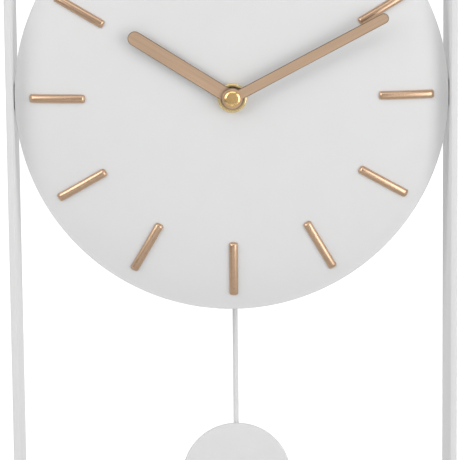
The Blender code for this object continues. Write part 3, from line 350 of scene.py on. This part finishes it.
def plated_metal(name, colour, roughness, depth=1.5 * MICRON):
    finish = Finish(name, roughness, 1.0)
    finish.colour(finish.noise(700, 4), shade(colour, 0.93), shade(colour, 1.05))
    haze = finish.noise(3000, 4)
    finish.gloss(haze, roughness - 0.05, roughness + 0.08)
    return finish.relief(haze, depth).material


def satin_metal(name, colour, roughness):
    """Smooth plating with a haze fainter than on plated_metal."""
    finish = Finish(name, roughness, 1.0)
    finish.colour(finish.noise(600, 4), shade(colour, 0.94), shade(colour, 1.06))
    haze = finish.noise(1400, 4)
    finish.gloss(haze, roughness - 0.04, roughness + 0.06)
    return finish.relief(haze, 0.4 * MICRON).material


def moulded_plastic(name, colour, roughness, depth=7 * MICRON):
    finish = Finish(name, roughness, Specular_IOR_Level=0.45)
    finish.colour(finish.noise(260, 4), shade(colour, 0.88), shade(colour, 1.12))
    spark = finish.noise(3600, 3)
    finish.gloss(spark, roughness - 0.08, roughness + 0.1)
    return finish.relief(spark, depth).material


def wound_wire(name, colour, direction, rings):
    finish = Finish(name, 0.3, 1.0)
    turns = finish.ridges(WIRE_PITCH, direction, rings)
    # painted shade: the grooves between the turns of wire are darker in the base colour, as well as
    # bumped
    finish.colour(turns, shade(colour, 0.55), colour)
    return finish.relief(turns, 40 * MICRON).relief(finish.noise(2500, 2), 2 * MICRON).material


def circuit_board(name, colour):
    finish = Finish(name, 0.4, Coat_Weight=0.3)
    tracks = finish.add("ShaderNodeTexBrick", {"Vector": finish.stretched((1, 1, 1), 0),
                                               "Scale": 160.0, "Mortar Size": 0.03})
    finish.colour(tracks.outputs["Fac"], colour, shade(colour, 2.2))
    return finish.relief(tracks.outputs["Fac"], 30 * MICRON).material


def battery_sleeve(name, body, cap, border):
    """A dark printed sleeve with a gold end: the colour changes at x = border."""
    finish = Finish(name, 0.28, 0.35, Coat_Weight=0.6)
    x = finish.add("ShaderNodeSeparateXYZ", {"Vector": finish.place}).outputs["X"]
    side = finish.add("ShaderNodeMapRange", {"Value": x, "From Min": border - BATTERY_CAP_BLUR,
                                             "From Max": border + BATTERY_CAP_BLUR}).outputs[0]
    finish.colour(side, body, cap)
    film = finish.noise(900, 3)
    finish.gloss(film, 0.22, 0.36)
    return finish.relief(film, 5 * MICRON).material


def make_finishes():
    border = centre_of("battery").x + BATTERY_CAP_START
    return {
        "coat": powder_coat("white_powder_coat", WHITE),
        "dial": dial_paint("white_dial", WHITE),
        "marker": satin_metal("rose_gold_polished", ROSE_MARKER, 0.3),
        "hour": brushed_metal("rose_gold_brushed_hour", ROSE_HAND, HOUR_HAND["angle"]),
        "minute": brushed_metal("rose_gold_brushed_minute", ROSE_HAND, MINUTE_HAND["angle"]),
        "brass": plated_metal("brass", BRASS, 0.2),
        "cap": plated_metal("brass_cap", BRASS_CAP, 0.18),
        "steel": plated_metal("zinc_steel", STEEL, 0.33, 4 * MICRON),
        "rubber": moulded_plastic("black_rubber", RUBBER_BLACK, 0.78, 12 * MICRON),
        "abs": moulded_plastic("black_abs", ABS_BLACK, 0.48),
        "pom": moulded_plastic("natural_pom", POM_CREAM, 0.38, 3 * MICRON),
        "iron": plated_metal("soft_iron", IRON, 0.42, 6 * MICRON),
        "coil_x": wound_wire("copper_wire", COPPER, "X", False),
        "coil_y": wound_wire("copper_wire_flat", COPPER, "Y", True),
        "board": circuit_board("circuit_green", BOARD_GREEN),
        "nickel": plated_metal("magnet_nickel", NICKEL, 0.22),
        "battery": battery_sleeve("battery_sleeve", BATTERY_BLACK, BATTERY_GOLD, border),
    }


# ---------------------------------------------------------------- shape helpers

def arc(centre_u, centre_v, radius, first, last, steps):
    """Points (u, v) on a circle from one angle to another."""
    return [(centre_u + radius * cos(first + (last - first) * i / steps),
             centre_v + radius * sin(first + (last - first) * i / steps))
            for i in range(steps + 1)]


def rounded(points, radius, steps=4):
    """A closed outline of (u, v) points with each corner replaced by a small curve."""
    outline = []
    for i, corner in enumerate(points):
        corner = Vector(corner)
        before = Vector(points[i - 1]) - corner
        after = Vector(points[(i + 1) % len(points)]) - corner
        start = corner + before.normalized() * radius
        end = corner + after.normalized() * radius
        for k in range(steps + 1):
            t = k / steps
            outline.append(tuple(start * (1 - t) ** 2 + corner * 2 * t * (1 - t) + end * t ** 2))
    return outline


def turned(profile, centre, segments, axis=AXIS_Y, ring=True):
    """A round solid: (radius, place along the axis) points spun about the axis through centre."""
    outward = AXIS_Z if axis == AXIS_X else AXIS_X
    across = Vector(centre) - axis * axis.dot(Vector(centre))
    shape = bmesh.new()
    points = [shape.verts.new(across + outward * r + axis * a) for r, a in profile]
    pairs = list(zip(points, points[1:]))
    if ring:
        pairs.append((points[-1], points[0]))
    edges = [shape.edges.new(pair) for pair in pairs]
    bmesh.ops.spin(shape, geom=points + edges, cent=across, axis=axis, angle=2 * pi,
                   steps=segments, use_merge=True)
    bmesh.ops.remove_doubles(shape, verts=shape.verts[:], dist=MERGE_DISTANCE)
    bmesh.ops.recalc_face_normals(shape, faces=shape.faces[:])
    return shape


def skinned(rings, closed=False):
    """A solid through rings of points, each ring closed; the ends are capped unless closed."""
    shape = bmesh.new()
    loops = [[shape.verts.new(point) for point in ring] for ring in rings]
    pairs = list(zip(loops, loops[1:]))
    if closed:
        pairs.append((loops[-1], loops[0]))
    for ring, after in pairs:
        for i in range(len(ring)):
            j = (i + 1) % len(ring)
            shape.faces.new((ring[i], ring[j], after[j], after[i]))
    if not closed:
        shape.faces.new(loops[0])
        shape.faces.new(loops[-1])
    bmesh.ops.recalc_face_normals(shape, faces=shape.faces[:])
    return shape


def slab(outlines, front, back):
    """A flat plate across Y: the first outline of (x, z) points with the others as its holes."""
    shape = bmesh.new()
    for outline in outlines:
        corners = [shape.verts.new((x, front, z)) for x, z in outline]
        for i, corner in enumerate(corners):
            shape.edges.new((corner, corners[(i + 1) % len(corners)]))
    filled = bmesh.ops.triangle_fill(shape, edges=shape.edges[:], use_beauty=True, normal=AXIS_Y)
    faces = [item for item in filled["geom"] if isinstance(item, bmesh.types.BMFace)]
    grown = bmesh.ops.extrude_face_region(shape, geom=faces)
    moved = [item for item in grown["geom"] if isinstance(item, bmesh.types.BMVert)]
    bmesh.ops.translate(shape, verts=moved, vec=AXIS_Y * (back - front))
    bmesh.ops.recalc_face_normals(shape, faces=shape.faces[:])
    return shape


def object_from(name, shape):
    mesh = bpy.data.meshes.new(name)
    shape.to_mesh(mesh)
    shape.free()
    mesh.shade_smooth()
    mesh.set_sharp_from_angle(angle=SHARP_ANGLE)
    thing = bpy.data.objects.new(name, mesh)
    bpy.context.scene.collection.objects.link(thing)
    return thing


def add_piece(name, shape, finish, body, slot, *nodes):
    """A new piece that rides a body, wears the given finish and stands for CAD nodes; slot is not used.
    """
    piece = object_from(name, shape)
    piece.data.materials.append(finish)
    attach(piece, body)
    if nodes:
        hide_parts(*nodes)
    return piece


def soften(thing, width, segments=2):
    bevel = thing.modifiers.new("soft_edges", "BEVEL")
    bevel.width = width
    bevel.segments = segments
    bevel.limit_method = "ANGLE"
    bevel.angle_limit = SHARP_ANGLE
    bevel.harden_normals = True


def cut(piece, shape):
    """Cuts a shape out of a piece and keeps only the result."""
    tool = object_from("cutting_tool", shape)
    modifier = piece.modifiers.new("cut", "BOOLEAN")
    modifier.object = tool
    modifier.operation = "DIFFERENCE"
    modifier.solver = "EXACT"
    bpy.context.view_layer.update()
    graph = bpy.context.evaluated_depsgraph_get()
    result = bpy.data.meshes.new_from_object(piece.evaluated_get(graph))
    piece.modifiers.clear()
    piece.data = result
    bpy.data.objects.remove(tool, do_unlink=True)
    result.set_sharp_from_angle(angle=SHARP_ANGLE)


# ---------------------------------------------------------------- frame, dial and markers

def build_band(finishes):
    low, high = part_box("frame_band")
    radius = (high.x - low.x) / 2
    section = rounded([(0, low.y), (BAND_THICK, low.y), (BAND_THICK, high.y), (0, high.y)], BAND_CORNER)
    rings = []
    for centre_z, first in ((high.z - radius, 0.0), (low.z + radius, pi)):
        for i in range(ARC_STATIONS + 1):
            angle = first + pi * i / ARC_STATIONS
            outward = Vector((cos(angle), 0, sin(angle)))
            rings.append([AXIS_Z * centre_z + outward * (radius - inset) + AXIS_Y * y
                          for inset, y in section])
    band = add_piece("band", skinned(rings, closed=True), finishes["coat"], "frame",
                     "white_powder_coat", "frame_band")
    screw_axis = (0, centre_of("side_screw_left").y, HUB.z)
    for side in (-1, 1):
        cut(band, turned(screw_hole(radius, side), screw_axis, HOLE_SEGMENTS, AXIS_X, ring=False))


def screw_hole(radius, side):
    """A countersunk hole through one side of the band, as (radius, x) points."""
    outside = side * (radius + 1 * MM)
    inside = side * (radius - 2 * BAND_THICK)
    return [(0, outside), (SCREW_HEAD_HOLE, outside), (SCREW_HEAD_HOLE, side * radius),
            (SCREW_HOLE, side * (radius - SCREW_HEAD_DEPTH)), (SCREW_HOLE, inside), (0, inside)]


def dial_front(radius, rim_radius, rim_y):
    """Where the crowned front of the dial stands at a distance from its centre."""
    return rim_y - CROWN_HEIGHT * (1 - (radius / rim_radius) ** CROWN_POWER)


def dial_sizes():
    """The dial's radius and where the front of its rim stands."""
    low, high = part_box("dial_plate")
    return (high.x - low.x) / 2, low.y + CROWN_HEIGHT


def build_dial(finishes):
    rim_radius, rim_y = dial_sizes()
    flat = rim_radius - DIAL_EDGE
    stations = [DIAL_BORE + (flat - DIAL_BORE) * i / DIAL_RINGS for i in range(DIAL_RINGS + 1)]
    front = [(r, dial_front(r, rim_radius, rim_y)) for r in stations]
    back = [(r, y + DIAL_THICK) for r, y in reversed(front)]
    top = front[-1][1]
    edge = arc(flat, top + DIAL_EDGE, DIAL_EDGE, -pi / 2, 0, DIAL_EDGE_STEPS)[1:]
    edge += arc(flat, top + DIAL_THICK - DIAL_EDGE, DIAL_EDGE, 0, pi / 2, DIAL_EDGE_STEPS)[:-1]
    shape = turned(front + edge + back, (0, 0, HUB.z), DIAL_SEGMENTS)
    add_piece("dial", shape, finishes["dial"], "frame", "white_dial", "dial_plate")


def marker_stations():
    """(place along the marker, width share, height share), with rounded ends."""
    length = MARKER_OUTER - MARKER_INNER
    near = []
    for i in range(MARKER_END_STEPS + 1):
        share = 1 - MARKER_END_START * (1 - i / MARKER_END_STEPS) ** MARKER_END_CROWDING
        near.append((MARKER_END * share, end_share(1 - share, *MARKER_END_WIDTH_POWERS),
                     end_share(1 - share, *MARKER_END_HEIGHT_POWERS)))
    middle = [(MARKER_END + (length - 2 * MARKER_END) * i / MARKER_MIDDLE_STEPS, 1.0, 1.0)
              for i in range(1, MARKER_MIDDLE_STEPS)]
    return near + middle + [(length - place, w, h) for place, w, h in reversed(near)]


def end_share(distance, inner_power, outer_power):
    """How much of the section is left where a rounded end falls away."""
    return (1 - distance ** inner_power) ** outer_power


def marker_section():
    """Half of an oval, flat at the back, as (across, height) points."""
    angles = [pi * i / MARKER_SECTION_STEPS for i in range(MARKER_SECTION_STEPS + 1)]
    return [(cos(angle) * MARKER_WIDTH / 2, sin(angle) * MARKER_HEIGHT) for angle in angles]


def build_markers(finishes):
    rim_radius, rim_y = dial_sizes()
    section = marker_section()
    for hour in range(1, 13):
        angle = radians(30 * hour)
        outward = Vector((sin(angle), 0, cos(angle)))
        sideways = Vector((cos(angle), 0, -sin(angle)))
        rings = []
        for place, wide, high in marker_stations():
            radius = MARKER_INNER + place
            y = dial_front(radius, rim_radius, rim_y) - MARKER_LIFT
            base = outward * radius + AXIS_Z * HUB.z + AXIS_Y * y
            rings.append([base + sideways * (u * wide) - AXIS_Y * (v * high) for u, v in section])
        add_piece(f"baton_{hour:02d}", skinned(rings), finishes["marker"], "frame",
                  "rose_gold_polished", f"marker_{hour:02d}")


# ---------------------------------------------------------------- hub stack and hands

def build_nut(finishes):
    low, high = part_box("mounting_nut")
    radius = (high.x - low.x) / 2
    front, back = low.y, high.y
    inner = radius - NUT_RIM
    profile = [(NUT_BORE, front + NUT_RECESS), (inner - NUT_RECESS_CORNER, front + NUT_RECESS),
               (inner - NUT_SLOPE_HALF, front + NUT_SLOPE_FOOT * NUT_RECESS),
               (inner + NUT_SLOPE_HALF, front + NUT_SLOPE_TOP)]
    profile += arc(radius - NUT_EDGE, front + NUT_EDGE, NUT_EDGE, -pi / 2, 0, 8)
    profile += [(radius, back - NUT_BACK_EDGE), (radius - NUT_BACK_EDGE, back), (NUT_BORE, back)]
    add_piece("dress_nut", turned(profile, HUB, HUB_SEGMENTS), finishes["brass"], "frame", "brass",
              "mounting_nut")


def build_cap(finishes):
    low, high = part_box("centre_cap")
    radius = (high.x - low.x) / 2
    front, back = low.y, high.y
    inset, drop = CAP_FACE_CORNER
    profile = [(0, front), (CAP_FACE - inset, front), (CAP_FACE, front + drop)]
    profile += arc(radius - CAP_EDGE, front + CAP_BEVEL_DEPTH + CAP_EDGE, CAP_EDGE, CAP_EDGE_START, 0, 5)
    profile += [(radius, back - CAP_BACK_EDGE), (radius - CAP_BACK_EDGE, back), (0, back)]
    add_piece("hub_cap", turned(profile, HUB, HUB_SEGMENTS, ring=False), finishes["cap"],
              "minute_hand_set", "brass", "centre_cap")


def hand_outline(length, width, boss, bore, angle):
    """The outline and the hole of a hand that points at a clock angle, as (x, z) points."""
    half = width / 2
    lean = atan2(half, sqrt(boss ** 2 - half ** 2))
    outline = arc(0, length - half, half, 0, pi, HAND_TIP_STEPS)
    outline += arc(0, 0, boss, pi / 2 + lean, 5 * pi / 2 - lean, HAND_BOSS_STEPS)
    hole = arc(0, 0, bore, 0, 2 * pi, HAND_BORE_STEPS)[:-1]
    return [[(u * cos(angle) + v * sin(angle), HUB.z + v * cos(angle) - u * sin(angle))
             for u, v in points] for points in (outline, hole)]


def build_hands(finishes):
    for name, sizes, body, finish in (("hour_hand", HOUR_HAND, "hour_hand_set", "hour"),
                                      ("minute_hand", MINUTE_HAND, "minute_hand_set", "minute")):
        low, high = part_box(name)
        shoulder = low.y + HAND_CHAMFER_DEPTH
        shape = slab(hand_outline(**sizes), shoulder, high.y)
        front = [face for face in shape.faces if face.calc_center_median().y < shoulder + MERGE_DISTANCE]
        bmesh.ops.inset_region(shape, faces=front, thickness=HAND_CHAMFER, depth=HAND_CHAMFER_DEPTH,
                               use_boundary=True, use_even_offset=True)
        add_piece(f"{name}_blade", shape, finishes[finish], body, "rose_gold_brushed", name)


# ---------------------------------------------------------------- pendulum

def rod_route(rod_y, foot_z):
    """From the tip of the hook, over its bend and down to the foot, as (y, z) points."""
    bend_y = rod_y - HOOK_BEND
    bend_z = HUB.z + HOOK_Z
    route = [(bend_y - HOOK_BEND, bend_z - HOOK_TAIL)]
    route += arc(bend_y, bend_z, HOOK_BEND, pi, 0, HOOK_STEPS)
    route.append((rod_y, foot_z))
    return route


def build_rod(finishes):
    low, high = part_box("pendulum_rod")
    x = (low.x + high.x) / 2
    points = [Vector((x, y, z)) for y, z in rod_route(high.y - ROD_RADIUS, low.z)]
    turns = [2 * pi * k / ROD_SIDES for k in range(ROD_SIDES)]
    rings = []
    for i, point in enumerate(points):
        ahead = points[min(i + 1, len(points) - 1)] - points[max(i - 1, 0)]
        normal = AXIS_X.cross(ahead.normalized())
        rings.append([point + AXIS_X * (ROD_RADIUS * cos(turn)) + normal * (ROD_RADIUS * sin(turn))
                      for turn in turns])
    piece = add_piece("hooked_rod", skinned(rings), finishes["coat"], "pendulum",
                      "white_powder_coat", "pendulum_rod")
    soften(piece, ROD_END_EDGE)


def build_bob(finishes):
    low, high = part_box("pendulum_bob")
    centre = (low + high) / 2
    radius = (high.z - low.z) / 2
    profile = [(0, low.y), (radius * 0.5, low.y)]
    profile += arc(radius - BOB_EDGE, low.y + BOB_EDGE, BOB_EDGE, -pi / 2, 0, 6)
    profile += arc(radius - BOB_EDGE, high.y - BOB_EDGE, BOB_EDGE, 0, pi / 2, 6)
    profile += [(radius * 0.5, high.y), (0, high.y)]
    add_piece("bob_disc", turned(profile, centre, BOB_SEGMENTS, ring=False), finishes["coat"],
              "pendulum", "white_powder_coat", "pendulum_bob")


# ---------------------------------------------------------------- movement

def battery_profile(first, last, radius):
    """The cell from its flat end to its nub, as (radius, x) points."""
    base = first + BATTERY_BASE_RISE
    shoulder = last - BATTERY_NUB_LENGTH
    edge = BATTERY_EDGE
    near, far = BATTERY_BASE_SHARES
    profile = [(0, first), (radius * near, first), (radius * far, base), (radius - 1.5 * edge, base)]
    profile += arc(radius - edge, base + edge, edge, -pi / 2, 0, 6)[1:]
    profile += [(radius - inset, shoulder - drop) for inset, drop in BATTERY_CRIMP]
    profile += arc(radius - edge, shoulder - edge, edge, 0, pi / 2, 6)
    profile += [(skirt, shoulder + rise) for skirt, rise in BATTERY_SKIRT]
    profile += arc(BATTERY_NUB_RADIUS - BATTERY_NUB_EDGE, last - BATTERY_NUB_EDGE, BATTERY_NUB_EDGE,
                   0, pi / 2, 4)
    profile.append((0, last))
    return profile


def build_battery(finishes):
    low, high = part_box("battery")
    profile = battery_profile(low.x, high.x, (high.z - low.z) / 2)
    shape = turned(profile, (low + high) / 2, BATTERY_SEGMENTS, AXIS_X, ring=False)
    add_piece("battery_cell", shape, finishes["battery"], "frame", "battery_sleeve", "battery")


def build_knob_ring(finishes):
    """A raised ring on the rear cover round the setting knob."""
    cover_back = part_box("rear_cover")[1].y
    inner, outer = KNOB_RING
    foot = cover_back - KNOB_RING_SINK
    top = cover_back + KNOB_RING_HEIGHT
    profile = rounded([(inner, foot), (outer, foot), (outer, top), (inner, top)], KNOB_RING_CORNER, 3)
    shape = turned(profile, centre_of("setting_knob"), KNOB_RING_SEGMENTS)
    add_piece("knob_ring", shape, finishes["abs"], "frame", "black_abs")


# which CAD nodes stay, by finish
KEPT = {
    "coat": ["hanger_plate", "side_screw_left", "side_screw_right"],
    "brass": ["brass_washer"],
    "steel": ["side_bracket_left", "side_bracket_right", "side_nut_left", "side_nut_right",
              "cover_screw_left", "cover_screw_right", "cannon_pinion", "contact_positive",
              "contact_negative", "pivot_pin"],
    "rubber": ["rubber_washer"],
    "abs": ["movement_case", "rear_cover", "setting_knob", "pendulum_housing"],
    "pom": ["train_bridge", "minute_work_wheel", "hour_wheel", "centre_wheel", "third_wheel",
            "fourth_wheel", "fifth_wheel", "swing_arm", "bob_clip"],
    "iron": ["stator"],
    "coil_x": ["motor_coil"],
    "coil_y": ["pendulum_coil"],
    "board": ["circuit_board"],
    "nickel": ["quartz_crystal", "stepping_rotor", "arm_magnet"],
}
# the kept nodes whose edges are rounded, with the width in millimetres
SOFTENED = {"hanger_plate": 0.35, "side_bracket_left": 0.2, "side_bracket_right": 0.2,
            "side_nut_left": 0.2, "side_nut_right": 0.2, "movement_case": 0.35, "rear_cover": 0.35,
            "pendulum_housing": 0.35, "setting_knob": 0.15, "swing_arm": 0.2, "bob_clip": 0.3,
            "train_bridge": 0.2, "stator": 0.08, "circuit_board": 0.1}


def dress_kept_nodes(finishes):
    for finish, names in KEPT.items():
        for name in names:
            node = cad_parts[name]
            if not node.material_slots:
                node.data.materials.append(finishes[finish])
            for slot in node.material_slots:
                slot.material = finishes[finish]
    for name, width in SOFTENED.items():
        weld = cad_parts[name].modifiers.new("weld", "WELD")
        weld.merge_threshold = WELD_DISTANCE
        soften(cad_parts[name], width * MM)


# ---------------------------------------------------------------- stage, light and camera

def build_stage(low):
    """A round pale floor under the clock."""
    shape = turned(FLOOR_SECTION, (0, 0, 0), FLOOR_SEGMENTS, ring=False)
    shape.transform(Matrix.Translation((0, 0, low - FLOOR_GAP)) @ Matrix.Rotation(pi / 2, 4, "X"))
    floor = object_from("floor", shape)
    finish = Finish("pale_floor", 0.8)
    finish.colour(finish.noise(30, 4), *FLOOR_COLOURS)
    floor.data.materials.append(finish.relief(finish.noise(900, 3), 10 * MICRON).material)


def add_light(name, place, size, power):
    data = bpy.data.lights.new(name, "AREA")
    data.shape = "RECTANGLE"
    data.size, data.size_y = size
    data.energy = power
    light = bpy.data.objects.new(name, data)
    bpy.context.scene.collection.objects.link(light)
    light.location = place
    aim = Vector(SOFT_BOX_TARGET) - Vector(place)
    light.rotation_euler = aim.to_track_quat("-Z", "Y").to_euler()
    light.visible_camera = False


def build_lights():
    for name, place, size, power in SOFT_BOXES:
        add_light(name, place, size, power)


def world_parts(tree):
    """The tilt term of the world's strength, and what its steps run over."""
    direction = tree.nodes.new("ShaderNodeTexCoord").outputs["Generated"]
    parts = tree.nodes.new("ShaderNodeSeparateXYZ")
    tree.links.new(direction, parts.inputs[0])
    tilt = tree.nodes.new("ShaderNodeVectorMath")
    tilt.operation = "DOT_PRODUCT"
    tilt.inputs[1].default_value = WORLD_TILT
    tree.links.new(direction, tilt.inputs[0])
    height = tree.nodes.new("ShaderNodeMath")
    height.operation = "ABSOLUTE"
    tree.links.new(parts.outputs["Z"], height.inputs[0])
    return tilt.outputs["Value"], {"depth": parts.outputs["Y"], "height": height.outputs[0]}


def world_step(tree, total, source, span, change):
    """Adds one step to the world's strength."""
    step = tree.nodes.new("ShaderNodeMapRange")
    step.inputs["From Min"].default_value, step.inputs["From Max"].default_value = span
    step.inputs["To Min"].default_value, step.inputs["To Max"].default_value = change
    tree.links.new(source, step.inputs["Value"])
    plus = tree.nodes.new("ShaderNodeMath")
    tree.links.new(total, plus.inputs[0])
    tree.links.new(step.outputs[0], plus.inputs[1])
    return plus.outputs[0]


def build_world():
    """An even white studio: a little darker in front of the clock, and white right behind it."""
    world = bpy.data.worlds.new("studio")
    bpy.context.scene.world = world
    world.use_nodes = True
    background = world.node_tree.nodes["Background"]
    background.inputs["Color"].default_value = (1, 1, 1, 1)
    total, sources = world_parts(world.node_tree)
    for source, span, change in WORLD_STEPS:
        total = world_step(world.node_tree, total, sources[source], span, change)
    world.node_tree.links.new(total, background.inputs["Strength"])


def build_camera():
    data = bpy.data.cameras.new("camera")
    data.lens = CAMERA_LENS
    data.sensor_width = SENSOR_WIDTH
    camera = bpy.data.objects.new("camera", data)
    bpy.context.scene.collection.objects.link(camera)
    forward = Vector((sin(CAMERA_PAN) * cos(CAMERA_TILT), cos(CAMERA_PAN) * cos(CAMERA_TILT),
                      -sin(CAMERA_TILT)))
    right = Vector((cos(CAMERA_PAN), -sin(CAMERA_PAN), 0))
    up = right.cross(forward)
    rolled_right = right * cos(CAMERA_ROLL) + up * sin(CAMERA_ROLL)
    rolled_up = up * cos(CAMERA_ROLL) - right * sin(CAMERA_ROLL)
    turn = Matrix((rolled_right, rolled_up, -forward)).transposed()
    camera.matrix_world = Matrix.Translation(CAMERA_PLACE) @ turn.to_4x4()
    bpy.context.scene.camera = camera


def main():
    """Dresses the kept nodes, adds the new pieces, and sets the stage round them."""
    bpy.context.scene.view_settings.view_transform = "Standard"
    finishes = make_finishes()
    dress_kept_nodes(finishes)
    for build in (build_band, build_dial, build_markers, build_nut, build_cap, build_hands,
                  build_rod, build_bob, build_battery, build_knob_ring):
        build(finishes)
    build_stage(cad_box[0].z)
    build_world()
    build_lights()
    build_camera()


main()
